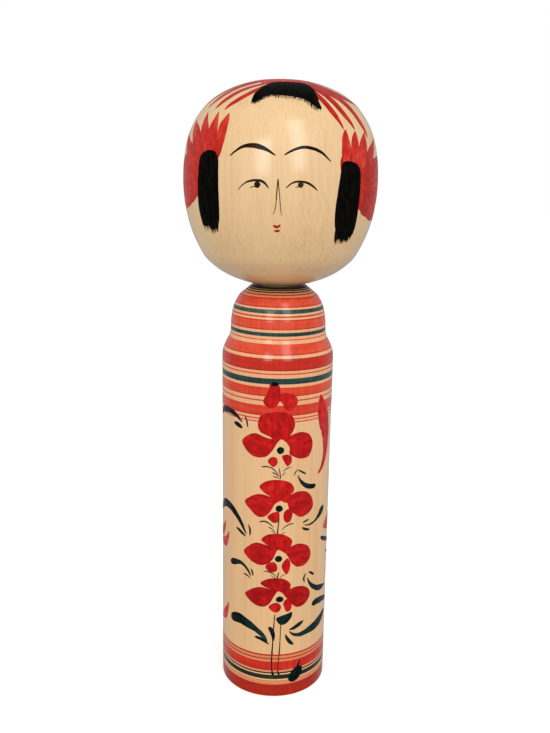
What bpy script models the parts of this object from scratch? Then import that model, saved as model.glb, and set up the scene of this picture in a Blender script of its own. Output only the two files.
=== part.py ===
"""A turned wooden kokeshi doll: a body with an undercut socket, and a head whose plug turns in it.

Metres, +Z up. The origin is the centre of the foot, and the doll faces -Y.
Both pieces are solids of revolution about the world Z axis, which is also the neck joint's axis.
"""
import math

import bmesh
import bpy
from mathutils import Vector
from mathutils.geometry import interpolate_bezier

MM = 0.001

# Driving dimensions, in millimetres.
TOTAL_HEIGHT = 303.0        # one shaku, a standard doll length
FOOT_RADIUS = 27.0
FOOT_CHAMFER = 0.5
NECK_TOP_HEIGHT = 209.0     # the body's top face, on which the head turns
NECK_TOP_RADIUS = 13.4
HEAD_SEAT_RADIUS = 12.8     # flat ring under the head that faces the body's top
FIT_GAP = 0.3               # clearance all round the plug
SEAT_GAP = 1.0              # height of the dark gap seen between head and body

MOUTH_RADIUS = 7.9          # socket's mouth, narrower than the plug's bulb
MOUTH_DEPTH = 8.0
UNDERCUT_RADIUS = 9.0       # socket's widest part, which holds the bulb in
SOCKET_DEPTH = 23.0
SOCKET_FLOOR_RADIUS = 7.0
MOUTH_LEAD_IN = 0.6         # small chamfer that lets the plug in

CENTRE_MARK_RADIUS = 3.0    # shallow cone that the lathe's centre leaves in the foot
CENTRE_MARK_DEPTH = 1.2

TURN_STEPS = 64             # facets round each turned piece
CURVE_STEPS = 3             # points that each span of a curved outline is cut into

# Side of the body above the foot's chamfer: nearly straight, with the faint swell of hand turning.
BODY_SIDE = [(27.1, 20.0), (27.25, 110.0), (27.45, 172.0)]

# Rounded shoulder, the tapering upper chest, and the hollow that leads in under the head.
SHOULDER = [
    (27.45, 172.0),
    (27.1, 177.4),
    (25.45, 181.4),
    (23.6, 185.4),
    (23.2, 191.4),
    (22.1, 198.3),
    (19.2, 204.1),
    (16.4, 206.6),
    (NECK_TOP_RADIUS, NECK_TOP_HEIGHT),
]

# Head from its crown, over its widest line, to the edge of its seat.
HEAD_CURVE = [
    (0.0, TOTAL_HEIGHT),
    (16.3, 301.6),
    (32.7, 293.8),
    (42.4, 280.0),
    (45.7, 260.0),
    (43.5, 240.1),
    (36.8, 224.1),
    (30.9, 218.0),
    (24.8, 214.2),
    (18.4, 211.6),
    (HEAD_SEAT_RADIUS, NECK_TOP_HEIGHT + SEAT_GAP + 0.1),
]


def clear_scene():
    for thing in list(bpy.data.objects):
        bpy.data.objects.remove(thing, do_unlink=True)


def curve_through(points, first_tangent=None):
    """Smooth outline through the given (radius, height) points.

    Each span is a Bezier curve whose handles follow the chord between a point's neighbours.
    first_tangent sets the direction at the first point, such as level at a crown.
    """
    knots = [Vector((radius, height, 0.0)) for radius, height in points]
    tangents = []
    for index, knot in enumerate(knots):
        before = knots[max(index - 1, 0)]
        after = knots[min(index + 1, len(knots) - 1)]
        tangents.append((after - before).normalized())
    if first_tangent is not None:
        tangents[0] = Vector((first_tangent[0], first_tangent[1], 0.0)).normalized()
    outline = [points[0]]
    for index in range(len(knots) - 1):
        start = knots[index]
        end = knots[index + 1]
        reach = (end - start).length / 3.0
        handle_out = start + tangents[index] * reach
        handle_in = end - tangents[index + 1] * reach
        span = interpolate_bezier(start, handle_out, handle_in, end, CURVE_STEPS + 1)
        outline += [(point.x, point.y) for point in span[1:]]
    return outline


def wood(name, colour, roughness):
    material = bpy.data.materials.new(name)
    material.use_nodes = True
    shader = material.node_tree.nodes["Principled BSDF"]
    shader.inputs["Base Color"].default_value = (*colour, 1.0)
    shader.inputs["Roughness"].default_value = roughness
    shader.inputs["Metallic"].default_value = 0.0
    return material


def turned(name, outline, material):
    """Turn an outline of (radius, height) points, which starts and ends on the axis, into a solid."""
    mesh = bpy.data.meshes.new(name)
    shape = bmesh.new()
    ring = [shape.verts.new((radius * MM, 0.0, height * MM)) for radius, height in outline]
    edges = [shape.edges.new(pair) for pair in zip(ring[:-1], ring[1:])]
    bmesh.ops.spin(
        shape,
        geom=ring + edges,
        cent=(0.0, 0.0, 0.0),
        axis=(0.0, 0.0, 1.0),
        angle=2.0 * math.pi,
        steps=TURN_STEPS,
        use_merge=True,
    )
    bmesh.ops.remove_doubles(shape, verts=shape.verts[:], dist=0.00001)
    bmesh.ops.recalc_face_normals(shape, faces=shape.faces[:])
    shape.to_mesh(mesh)
    shape.free()
    mesh.materials.append(material)
    mesh.shade_smooth()
    mesh.set_sharp_from_angle(angle=math.radians(35.0))
    piece = bpy.data.objects.new(name, mesh)
    bpy.context.scene.collection.objects.link(piece)
    return piece


def body_outline():
    """Foot, side, shoulder and neck, then down into the undercut socket that holds the plug."""
    foot = [
        (0.0, CENTRE_MARK_DEPTH),
        (CENTRE_MARK_RADIUS, 0.0),
        (FOOT_RADIUS - FOOT_CHAMFER, 0.0),
        (FOOT_RADIUS, FOOT_CHAMFER),
    ]
    socket = [
        (MOUTH_RADIUS + MOUTH_LEAD_IN, NECK_TOP_HEIGHT),
        (MOUTH_RADIUS, NECK_TOP_HEIGHT - MOUTH_LEAD_IN),
        (MOUTH_RADIUS, NECK_TOP_HEIGHT - MOUTH_DEPTH),
        (UNDERCUT_RADIUS, NECK_TOP_HEIGHT - MOUTH_DEPTH - 2.5),
        (UNDERCUT_RADIUS, NECK_TOP_HEIGHT - MOUTH_DEPTH - 7.0),
        (SOCKET_FLOOR_RADIUS, NECK_TOP_HEIGHT - SOCKET_DEPTH),
        (0.0, NECK_TOP_HEIGHT - SOCKET_DEPTH),
    ]
    return foot + BODY_SIDE[:-1] + curve_through(SHOULDER, first_tangent=(0.0, 1.0)) + socket


def head_outline():
    """Crown to seat, then the bulb-ended plug that is forced into the body's socket."""
    seat_height = NECK_TOP_HEIGHT + SEAT_GAP
    seat = [(HEAD_SEAT_RADIUS, seat_height), (MOUTH_RADIUS - FIT_GAP, seat_height)]
    plug_radius = MOUTH_RADIUS - FIT_GAP
    bulb_radius = UNDERCUT_RADIUS - FIT_GAP
    shoulder_drop = MOUTH_DEPTH + 2.0 * FIT_GAP
    plug = [
        (plug_radius, NECK_TOP_HEIGHT - shoulder_drop),
        (bulb_radius, NECK_TOP_HEIGHT - shoulder_drop - 2.5),
        (bulb_radius, NECK_TOP_HEIGHT - shoulder_drop - 6.0),
        (SOCKET_FLOOR_RADIUS - 2.0 * FIT_GAP, NECK_TOP_HEIGHT - SOCKET_DEPTH + 2.0 * FIT_GAP),
        (0.0, NECK_TOP_HEIGHT - SOCKET_DEPTH + 2.0 * FIT_GAP),
    ]
    return curve_through(HEAD_CURVE, first_tangent=(1.0, 0.0)) + seat + plug


clear_scene()
body_wood = wood("body_wood", (0.80, 0.55, 0.33), 0.45)
head_wood = wood("head_wood", (0.86, 0.66, 0.42), 0.40)
turned("body", body_outline(), body_wood)
turned("head", head_outline(), head_wood)
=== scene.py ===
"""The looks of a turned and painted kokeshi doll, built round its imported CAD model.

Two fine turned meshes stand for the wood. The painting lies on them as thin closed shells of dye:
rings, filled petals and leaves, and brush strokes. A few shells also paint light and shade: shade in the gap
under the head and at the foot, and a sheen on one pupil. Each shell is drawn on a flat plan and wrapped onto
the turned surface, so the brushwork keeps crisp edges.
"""
import math

import bpy
import numpy as np
from mathutils import Matrix, Vector, noise


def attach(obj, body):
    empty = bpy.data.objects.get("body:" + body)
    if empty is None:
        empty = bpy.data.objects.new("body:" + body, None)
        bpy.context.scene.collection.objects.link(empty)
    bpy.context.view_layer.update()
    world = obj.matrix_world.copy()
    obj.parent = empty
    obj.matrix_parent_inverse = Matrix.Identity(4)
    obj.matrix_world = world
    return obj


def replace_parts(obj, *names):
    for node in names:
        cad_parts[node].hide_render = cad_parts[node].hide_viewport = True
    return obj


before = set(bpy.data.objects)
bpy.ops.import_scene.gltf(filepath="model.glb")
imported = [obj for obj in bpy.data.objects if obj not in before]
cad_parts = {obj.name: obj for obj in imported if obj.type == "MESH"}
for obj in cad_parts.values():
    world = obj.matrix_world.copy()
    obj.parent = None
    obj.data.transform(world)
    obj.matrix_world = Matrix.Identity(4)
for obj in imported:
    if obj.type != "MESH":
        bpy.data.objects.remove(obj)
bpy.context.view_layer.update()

MM = 0.001
TURN_STEPS = 240  # facets round each turned surface
OUTLINE_STEP = 1.0  # mm between rings of a turned surface
CORE_RADIUS = 10.0  # mm; inside this the CAD outlines are plug, socket and the foot's centre mark
GIRTH_RADIUS = 27.3  # mm; the body's plan measures x round a circle of this radius
FACE_TURN = -2.4  # degrees that the face's middle line is turned from -Y
FLOWER_TURN = 6.8  # degrees that the column of flowers is turned from -Y

BRUSH_STEP = 0.8  # mm between cross-rows of a brush stroke
LANE_WIDTH = 1.1  # most mm between points across a stroke
THINNEST = 0.05  # mm; no stroke is drawn narrower than this
RIM_WIDTH = 0.12  # mm of a ring's edge that slopes down to the wood
PATCH_RIM = 0.25  # mm of a patch's edge that slopes down to the wood
EDGE_LIFT = 0.012  # mm that a shell's rim stands above the wood
SHELL_LIFT = 0.03  # mm that its middle stands above the wood
LAYER_LIFT = 0.012  # mm added for each layer of paint below
ORDER_LIFT = 0.0004  # mm added shell by shell, so that no two share a surface
SHELL_SINK = 0.05  # mm that its underside reaches into the wood

COAT_ROUGHNESS = 0.17
BUMP_HEIGHT = 0.000012  # m, as all that a material sees is in metres

TURN_ANGLES = np.arange(TURN_STEPS) * 2.0 * math.pi / TURN_STEPS


# ---- smooth lines

def spline(points, samples, closed=False):
    """Points on a smooth curve through the given rows, each row a point of any number of columns."""
    rows = np.array(points, float)
    count = len(rows)
    spans = count if closed else count - 1
    gaps = [np.linalg.norm(rows[(i + 1) % count, :2] - rows[i, :2]) ** 0.5 + 1e-6 for i in range(spans)]
    slopes = []
    for i in range(count):
        if closed or 0 < i < count - 1:
            before = (rows[i] - rows[i - 1]) / gaps[i - 1]
            after = (rows[(i + 1) % count] - rows[i]) / gaps[i % spans]
            width = gaps[i - 1] + gaps[i % spans]
            slopes.append((before * gaps[i % spans] + after * gaps[i - 1]) / width)
        elif i == 0:
            slopes.append((rows[1] - rows[0]) / gaps[0])
        else:
            slopes.append((rows[-1] - rows[-2]) / gaps[-1])
    out = []
    for i in range(spans):
        start = rows[i]
        end = rows[(i + 1) % count]
        for t in np.arange(samples) / samples:
            a = 2 * t**3 - 3 * t**2 + 1
            b = (t**3 - 2 * t**2 + t) * gaps[i]
            c = (t**3 - t**2) * gaps[i]
            out.append(a * start + b * slopes[i] + (1 - a) * end + c * slopes[(i + 1) % count])
    if not closed:
        out.append(rows[-1])
    return np.array(out)


def even_rows(rows, positions, step):
    """Rows resampled so that the matching positions in space are about step mm apart."""
    run = np.r_[0.0, np.cumsum(np.linalg.norm(np.diff(positions, axis=0), axis=1))]
    count = max(3, int(math.ceil(run[-1] / step)) + 1)
    marks = np.linspace(0.0, run[-1], count)
    return np.stack([np.interp(marks, run, column) for column in rows.T], -1), marks


# ---- turned surfaces

class Turning:
    """The outside of a turned piece, read from its CAD node.

    run is the distance along the outline in mm: from the crown down, or from the foot up. mark is the body's
    height, which goes on growing across its top face.
    """

    def __init__(self, node, crown_first):
        points = set()
        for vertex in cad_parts[node].data.vertices:
            if abs(vertex.co.y) < 1e-6 and vertex.co.x > -1e-6:
                points.add((round(vertex.co.x / MM, 3), round(vertex.co.z / MM, 3)))
        top = max(height for radius, height in points)
        outer = [p for p in points if p[0] > CORE_RADIUS or p[1] == top]
        outer.sort(key=lambda p: (-p[1] if crown_first else p[1], -p[0]))
        core = sorted(points.difference(outer), key=lambda p: (-p[1], -p[0]))
        self.core = [p for p in core if p[1] > 100.0]
        self.foot = [p for p in core if p[1] < 100.0]
        if crown_first:
            fine = spline([(-outer[1][0], outer[1][1])] + outer[:-1], 40)[40:]
            fine = np.vstack([fine, outer[-1]])
        else:
            fine = np.vstack([outer[0], spline(outer[1:-1], 40), outer[-1]])
        fine[:, 0] = np.maximum(fine[:, 0], 0.0)
        self.run = np.r_[0.0, np.cumsum(np.linalg.norm(np.diff(fine, axis=0), axis=1))]
        self.radius, self.height = fine.T
        self.mark = self.height + (0.0 if crown_first else np.maximum(self.run - self.run[-2], 0.0))
        along = np.gradient(fine, self.run, axis=0)
        square = np.stack([-along[:, 1], along[:, 0]], -1)
        if not crown_first:
            square = -square
        self.slope = square / np.linalg.norm(square, axis=1)[:, None]

    def outward(self, azimuth, run):
        out_r = np.interp(run, self.run, self.slope[:, 0])
        out_z = np.interp(run, self.run, self.slope[:, 1])
        return np.stack([out_r * np.sin(azimuth), -out_r * np.cos(azimuth), out_z], -1)

    def at(self, azimuth, run, lift):
        """Points in mm at an azimuth in radians, a distance along the outline, and a lift off the surface."""
        r = np.interp(run, self.run, self.radius)
        z = np.interp(run, self.run, self.height)
        on_surface = np.stack([r * np.sin(azimuth), -r * np.cos(azimuth), z], -1)
        return on_surface + np.asarray(lift)[..., None] * self.outward(azimuth, run)


class Plan:
    """A flat drawing plan that wraps onto a turning: where(x, y) gives the azimuth and the run."""

    def __init__(self, turning, where):
        self.turning = turning
        self.where = where

    def at(self, xy, lift=0.0):
        azimuth, run = self.where(xy[..., 0], xy[..., 1])
        return self.turning.at(azimuth, run, lift)

    def shift(self, xy, offset):
        """Plan points moved by offset mm on the real surface, square to the line that they make."""
        small = 0.05
        along_x = (self.at(xy + [small, 0.0]) - self.at(xy)) / small
        along_y = (self.at(xy + [0.0, small]) - self.at(xy)) / small
        flow = np.gradient(self.at(xy), axis=0)
        azimuth, run = self.where(xy[:, 0], xy[:, 1])
        side = np.cross(self.turning.outward(azimuth, run), flow)
        side /= np.linalg.norm(side, axis=1)[:, None] + 1e-12
        xx = (along_x * along_x).sum(1)
        mixed = (along_x * along_y).sum(1)
        yy = (along_y * along_y).sum(1)
        sx = (along_x * side).sum(1)
        sy = (along_y * side).sum(1)
        det = xx * yy - mixed * mixed
        step = np.stack([(sx * yy - sy * mixed) / det, (sy * xx - sx * mixed) / det], -1)
        return xy + step * np.reshape(offset, (-1, 1))


head = Turning("head", crown_first=True)
body = Turning("body", crown_first=False)


def face_place(x, y):
    """Face plan: x in degrees from the face's middle line, y in mm down the outline from the crown."""
    return np.radians(x + FACE_TURN), np.asarray(y, float)


def crown_place(x, y):
    """Crown plan: the head seen from above and flattened, in mm from the crown, with the face towards -y."""
    return np.arctan2(x, -y) + math.radians(FACE_TURN), np.hypot(x, y)


def side_place(x, y):
    """Body plan: x in mm round the body from the middle of the flowers, y the height in mm.

    Beyond the top edge, y goes on across the top face.
    """
    return x / GIRTH_RADIUS + math.radians(FLOWER_TURN), np.interp(y, body.mark, body.run)


face = Plan(head, face_place)
crown = Plan(head, crown_place)
side = Plan(body, side_place)


# ---- meshes

class Shells:
    """Closed thin shells that together make one piece, with what the brush did stored at each point."""

    def __init__(self, layer):
        self.points = []
        self.faces = []
        self.flow = []
        self.ink = []
        self.depth = []
        self.base_lift = SHELL_LIFT + LAYER_LIFT * layer
        self.count = 0

    def next_lift(self):
        self.count += 1
        return self.base_lift + ORDER_LIFT * self.count

    def add_sheet(self, place, depth, flow, ink, quads, rim_loops):
        """A sheet and its underside: place(lift) gives points, depth is a point's distance from the rim."""
        lift = np.where(depth <= 0.0, EDGE_LIFT, self.next_lift())
        top = place(lift)
        under = place(np.full(len(lift), -SHELL_SINK))
        first = sum(len(p) for p in self.points)
        size = len(top)
        self.points += [top, under]
        self.flow += [flow, flow]
        self.ink += [ink, ink]
        self.depth += [depth, depth]
        self.faces += [tuple(first + i for i in quad) for quad in quads]
        self.faces += [tuple(first + size + i for i in reversed(quad)) for quad in quads]
        for loop in rim_loops:
            for a, b in zip(loop, loop[1:] + loop[:1]):
                self.faces.append((first + b, first + a, first + size + a, first + size + b))

    def piece(self, name, material, ride_on, slot):
        points = np.concatenate(self.points) * MM
        mesh = bpy.data.meshes.new(name)
        mesh.from_pydata(points.tolist(), [], self.faces)
        store = mesh.attributes.new("flow", "FLOAT_VECTOR", "POINT")
        store.data.foreach_set("vector", np.concatenate(self.flow).astype(np.float32).ravel())
        for kind, values in [("ink", self.ink), ("depth", self.depth)]:
            store = mesh.attributes.new(kind, "FLOAT", "POINT")
            store.data.foreach_set("value", np.concatenate(values).astype(np.float32).ravel())
        finish_piece(name, mesh, material, ride_on, 25.0)


def finish_piece(name, mesh, material, ride_on, sharp_angle):
    mesh.validate()
    mesh.materials.append(material)
    mesh.shade_smooth()
    mesh.set_sharp_from_angle(angle=math.radians(sharp_angle))
    piece = bpy.data.objects.new(name, mesh)
    bpy.context.scene.collection.objects.link(piece)
    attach(piece, ride_on)
    return piece


def wobble(marks, seed, size):
    """A slow random wander along a line, the same on every run."""
    return np.array([noise.noise(Vector((m * 0.35, seed * 7.31, 0.5))) for m in marks]) * size


def grid_quads(index):
    """The faces of a grid of point numbers."""
    quads = []
    for low, high in zip(index, index[1:]):
        quads += zip(low, low[1:], high[1:], high)
    return quads


def closed(index):
    """A grid of point numbers whose rows go on to their first point again."""
    return np.hstack([index, index[:, :1]])


def stroke(shells, plan, points, ink=1.0, ink_end=None, rough=0.1):
    """One brush stroke. Each point is (x, y, width in mm); its ends are rounded off by their width."""
    dense = spline(points, 24)
    rows, marks = even_rows(dense, plan.at(dense[:, :2]), BRUSH_STEP)
    length = marks[-1]
    width = np.maximum(rows[:, 2], THINNEST)
    start_cap = np.sqrt(1 - np.clip(1 - marks / (0.5 * width[0]), 0, 1) ** 2)
    end_cap = np.sqrt(1 - np.clip(1 - (length - marks) / (0.5 * width[-1]), 0, 1) ** 2)
    half = 0.5 * width * np.maximum(start_cap * end_cap, 0.06)
    seed = shells.count + 0.37
    left = half * (1 + wobble(marks, seed, rough)) + wobble(marks * 2, seed + 20, 0.04)
    right = half * (1 + wobble(marks, seed + 40, rough)) + wobble(marks * 2, seed + 60, 0.04)
    left = np.maximum(left, 0.4 * THINNEST)
    right = np.maximum(right, 0.4 * THINNEST)
    lanes = max(2, int(math.ceil(2.0 * half.max() / LANE_WIDTH)))
    across = np.linspace(-1.0, 1.0, lanes + 1)
    columns = []
    for a in across:
        columns.append(plan.shift(rows[:, :2], np.where(a < 0, a * right, a * left)))
    grid = np.stack(columns, 1)
    steps = len(rows)
    flat = grid.reshape(-1, 2)
    index = np.arange(len(flat)).reshape(steps, lanes + 1)
    depth = half[:, None] * (1 - np.abs(across))[None, :]
    depth = np.minimum(depth, np.minimum(marks, length - marks)[:, None])
    loop = np.concatenate([index[0], index[1:, -1], index[-1, -2::-1], index[-2:0:-1, 0]]).tolist()
    flow = np.zeros((len(flat), 3))
    flow[:, 0] = np.repeat(marks, lanes + 1)
    flow[:, 1] = np.tile(across, steps) * np.repeat(half, lanes + 1)
    flow[:, 2] = seed * 3.7
    fade = np.interp(marks / length, [0.0, 1.0], [ink, ink if ink_end is None else ink_end])
    ink_rows = np.repeat(fade, lanes + 1)
    add_oriented(shells, plan, flat, depth.ravel(), flow, ink_rows, grid_quads(index), loop)


def patch(shells, plan, outline, centre=None, ink=1.0, rough=0.1, ring_step=1.3, towards=None):
    """A filled shape inside a smooth closed outline, which its centre can see all of.

    Its brush streaks run towards the given point, or straight down.
    """
    edge = spline(outline, 8, closed=True)
    middle = np.mean(edge, axis=0) if centre is None else np.array(centre, float)
    seed = shells.count + 0.61
    arms = edge - middle
    reach = np.linalg.norm(arms, axis=1)
    angle = np.arctan2(arms[:, 1], arms[:, 0])
    circle = [Vector((math.cos(a), math.sin(a), 0.0)) for a in angle]
    lift = Vector((0.0, 0.0, seed))
    ripple = np.array([noise.noise(p * 2.5 + lift) + 0.5 * noise.noise(p * 7 + lift) for p in circle])
    arms *= (1 + rough * ripple / np.maximum(reach, 1.0))[:, None]
    biggest = reach.max()
    rings = max(2, int(math.ceil(biggest / ring_step)))
    shares = [(k + 1) / rings for k in range(rings)]
    shares.insert(-1, 1.0 - PATCH_RIM / max(biggest, 1.0))
    points = [middle]
    for share in shares:
        points += list(middle + arms * share)
    flat = np.array(points)
    size = len(edge)
    index = closed(1 + np.arange(len(shares) * size).reshape(-1, size))
    quads = [(0, a, b) for a, b in zip(index[0], index[0, 1:])]
    for inner, outer in zip(index, index[1:]):
        quads += zip(inner, outer, outer[1:], inner[1:])
    depth = np.full(len(flat), biggest)
    for k, share in enumerate(shares):
        depth[1 + k * size:1 + (k + 1) * size] = (1.0 - share) * reach
    way = np.array([0.0, -1.0]) if towards is None else np.array(towards, float) - middle
    way /= np.linalg.norm(way)
    flow = np.zeros((len(flat), 3))
    flow[:, 0] = (flat - middle) @ way
    flow[:, 1] = (flat - middle) @ np.array([-way[1], way[0]])
    flow[:, 2] = seed * 3.7
    ink_rows = np.full(len(flat), float(ink))
    add_oriented(shells, plan, flat, depth, flow, ink_rows, quads, index[-1, :-1].tolist())


def add_oriented(shells, plan, flat, depth, flow, ink, quads, rim):
    """Adds a sheet with its faces turned outwards, whichever way it was drawn."""
    corners = flat[list(quads[len(quads) // 2])]
    a, b, c = plan.at(corners[:3])
    middle = corners.mean(0)
    azimuth, run = plan.where(middle[:1], middle[1:])
    if np.dot(np.cross(b - a, c - a), plan.turning.outward(azimuth, run)[0]) < 0:
        quads = [quad[::-1] for quad in quads]
        rim = rim[::-1]
    shells.add_sheet(lambda lift: plan.at(flat, lift), depth, flow, ink, quads, [rim])


def ring(shells, low, high, ink=1.0, waver=0.05):
    """A band of dye round the body between two heights, as a brush leaves it on the turning lathe."""
    rows = max(2, int(math.ceil((high - low) / 1.2)) + 1)
    seed = shells.count + 0.23
    circle = [Vector((math.cos(a) * 1.4, math.sin(a) * 1.4, seed)) for a in TURN_ANGLES]
    low_edge = low + waver * np.array([noise.noise(p) for p in circle])
    high_edge = high + waver * np.array([noise.noise(p + Vector((0, 0, 9))) for p in circle])
    rim = RIM_WIDTH / (high - low)
    shares = np.unique(np.r_[np.linspace(0.0, 1.0, rows), rim, 1 - rim])
    shares = shares[(shares >= 0.0) & (shares <= 1.0)]
    heights = np.outer(1 - shares, low_edge) + np.outer(shares, high_edge)
    rows = len(shares)
    index = np.arange(rows * TURN_STEPS).reshape(rows, TURN_STEPS)
    depth = np.repeat(np.minimum(shares, 1.0 - shares) * (high - low), TURN_STEPS)
    azimuth = np.tile(TURN_ANGLES, rows)
    run = np.interp(heights.ravel(), body.mark, body.run)
    flow = np.stack([azimuth * GIRTH_RADIUS, heights.ravel(), np.full(len(run), seed * 3.7)], -1)
    ink_rows = np.full(len(run), float(ink))
    rims = [index[0].tolist(), index[-1, ::-1].tolist()]
    quads = grid_quads(closed(index))
    shells.add_sheet(lambda lift: body.at(azimuth, run, lift), depth, flow, ink_rows, quads, rims)


def turned_piece(name, turning, node, looks, start, end):
    """A fine turned solid: the smooth outside, with the CAD outline's plug, socket or foot at its ends."""
    count = int(math.ceil(turning.run[-1] / OUTLINE_STEP))
    marks = np.linspace(0.0, turning.run[-1], count + 1)
    radii = np.interp(marks, turning.run, turning.radius)
    heights = np.interp(marks, turning.run, turning.height)
    outline = start + list(zip(radii, heights)) + end
    points = []
    rings = []
    for radius, height in outline:
        if radius < 0.001:
            rings.append([len(points)] * TURN_STEPS)
            points.append((0.0, 0.0, height * MM))
        else:
            rings.append(list(range(len(points), len(points) + TURN_STEPS)))
            reach = radius * MM
            points += [(reach * math.sin(a), -reach * math.cos(a), height * MM) for a in TURN_ANGLES]
    faces = [tuple(dict.fromkeys(quad)) for quad in grid_quads(closed(np.array(rings)))]
    if turning is head:
        faces = [face[::-1] for face in faces]
    mesh = bpy.data.meshes.new(name)
    mesh.from_pydata(points, [], faces)
    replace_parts(finish_piece(name, mesh, looks[name], node, 40.0), node)


# ---- materials

class Nodes:
    """A shader node tree under construction. An input is fed with a value or with another node's output."""

    def __init__(self, tree):
        self.tree = tree

    def node(self, kind, inputs=None, **settings):
        made = self.tree.nodes.new("ShaderNode" + kind)
        for key, value in settings.items():
            setattr(made, key, value)
        for key, value in (inputs or {}).items():
            self.feed(made.inputs[key], value)
        return made

    def feed(self, socket, value):
        if isinstance(value, bpy.types.NodeSocket):
            self.tree.links.new(value, socket)
        else:
            socket.default_value = value

    def maths(self, operation, a, b=0.0, clamp=False):
        return self.node("Math", {0: a, 1: b}, operation=operation, use_clamp=clamp).outputs[0]


class Material(Nodes):
    """A material, whose textures take their places in metres or in the paint's own millimetres."""

    def __init__(self, name):
        self.material = bpy.data.materials.new(name)
        self.material.use_nodes = True
        super().__init__(self.material.node_tree)
        self.shader = self.tree.nodes["Principled BSDF"]

    def noise(self, place, scale, detail=3.0, roughness=0.5, distortion=0.0):
        inputs = {"Vector": place, "Scale": scale, "Detail": detail, "Roughness": roughness,
                  "Distortion": distortion}
        return self.node("TexNoise", inputs).outputs["Fac"]

    def total(self, start, *parts):
        """start + the sum of weight * (value - middle) over the parts."""
        for value, middle, weight in parts:
            share = self.maths("MULTIPLY", self.maths("SUBTRACT", value, middle), weight)
            start = self.maths("ADD", start, share)
        return start

    def stretched(self, place, scale, shift=(0.0, 0.0, 0.0)):
        return self.node("Mapping", {"Vector": place, "Scale": scale, "Location": shift}).outputs["Vector"]

    def ramp(self, factor, stops):
        made = self.node("ValToRGB", {"Fac": factor})
        band = made.color_ramp
        while len(band.elements) < len(stops):
            band.elements.new(0.5)
        for element, (position, colour) in zip(band.elements, stops):
            element.position = position
            element.color = (*colour, 1.0)
        return made.outputs["Color"]

    def mix(self, factor, a, b, blend="MIX"):
        made = self.node("Mix", data_type="RGBA", blend_type=blend)
        self.feed(made.inputs["Factor"], factor)
        self.feed(made.inputs["A"], a)
        self.feed(made.inputs["B"], b)
        return made.outputs["Result"]

    def gloss(self, roughness, height, sheen, wax):
        """A waxed finish: a soft sheen in the surface under a thin, smoother film of wax."""
        relief = self.node("Bump", {"Height": height, "Distance": BUMP_HEIGHT, "Strength": 1.0})
        bump = relief.outputs["Normal"]
        inputs = {"Roughness": roughness, "Specular IOR Level": sheen, "Coat Weight": wax,
                  "Coat Roughness": COAT_ROUGHNESS, "Normal": bump, "Coat Normal": bump}
        for key, value in inputs.items():
            self.feed(self.shader.inputs[key], value)


def wood_figure(made, pith, shift, lean):
    """Grain of close-grained pale wood along Z: growth rings about the pith, long fibres and broad stains.

    The rings lean by some degrees, as the piece was cut from its log. Returns the place, the tone, 0 pale to
    1 dark, and the height of the raised fibres.
    """
    place = made.node("TexCoord").outputs["Object"]
    turn = {"Vector": place, "Center": (0.0, 0.0, 0.2), "Angle": math.radians(lean)}
    leaning = made.node("VectorRotate", turn, rotation_type="Y_AXIS").outputs["Vector"]
    ring_place = made.stretched(leaning, (1.0, 1.0, 0.1), (-pith[0], -pith[1], 0.0))
    inputs = {"Vector": ring_place, "Scale": 190.0, "Distortion": 5.0, "Detail": 2.0, "Detail Scale": 0.14,
              "Detail Roughness": 0.5}
    rings = made.node("TexWave", inputs, wave_type="RINGS", rings_direction="Z", wave_profile="SAW")
    fibre_place = made.stretched(place, (1.0, 1.0, 0.015), shift)
    fibres = made.noise(fibre_place, 1900.0, 3.0, 0.6)
    streaks = made.noise(fibre_place, 520.0, 3.0, 0.55)
    stains = made.noise(made.stretched(place, (1.0, 1.0, 0.09), shift), 70.0, 2.0, 0.5, 0.4)
    tone = made.total(-0.28, (rings.outputs["Fac"], 0.0, 0.12), (fibres, 0.0, 0.34), (streaks, 0.0, 0.6))
    tone = made.maths("ADD", tone, made.maths("MULTIPLY", stains, 0.5), clamp=True)
    return place, tone, fibres


def tool_marks(made, place):
    """The faint ridges that a turning tool leaves round the piece."""
    return made.noise(made.stretched(place, (0.02, 0.02, 1.0)), 900.0, 2.0)


def bare_wood(name, stops, *grain_of_piece):
    made = Material(name)
    place, tone, fibres = wood_figure(made, *grain_of_piece)
    made.feed(made.shader.inputs["Base Color"], made.ramp(tone, stops))
    height = made.total(0.0, (fibres, 0.0, 0.6), (tool_marks(made, place), 0.0, 0.4))
    polish = made.noise(made.stretched(place, (1.0, 1.0, 0.4)), 60.0, 3.0)
    made.gloss(made.total(0.4, (polish, 0.0, 0.16)), height, 0.45, 0.95)
    return made.material


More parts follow.
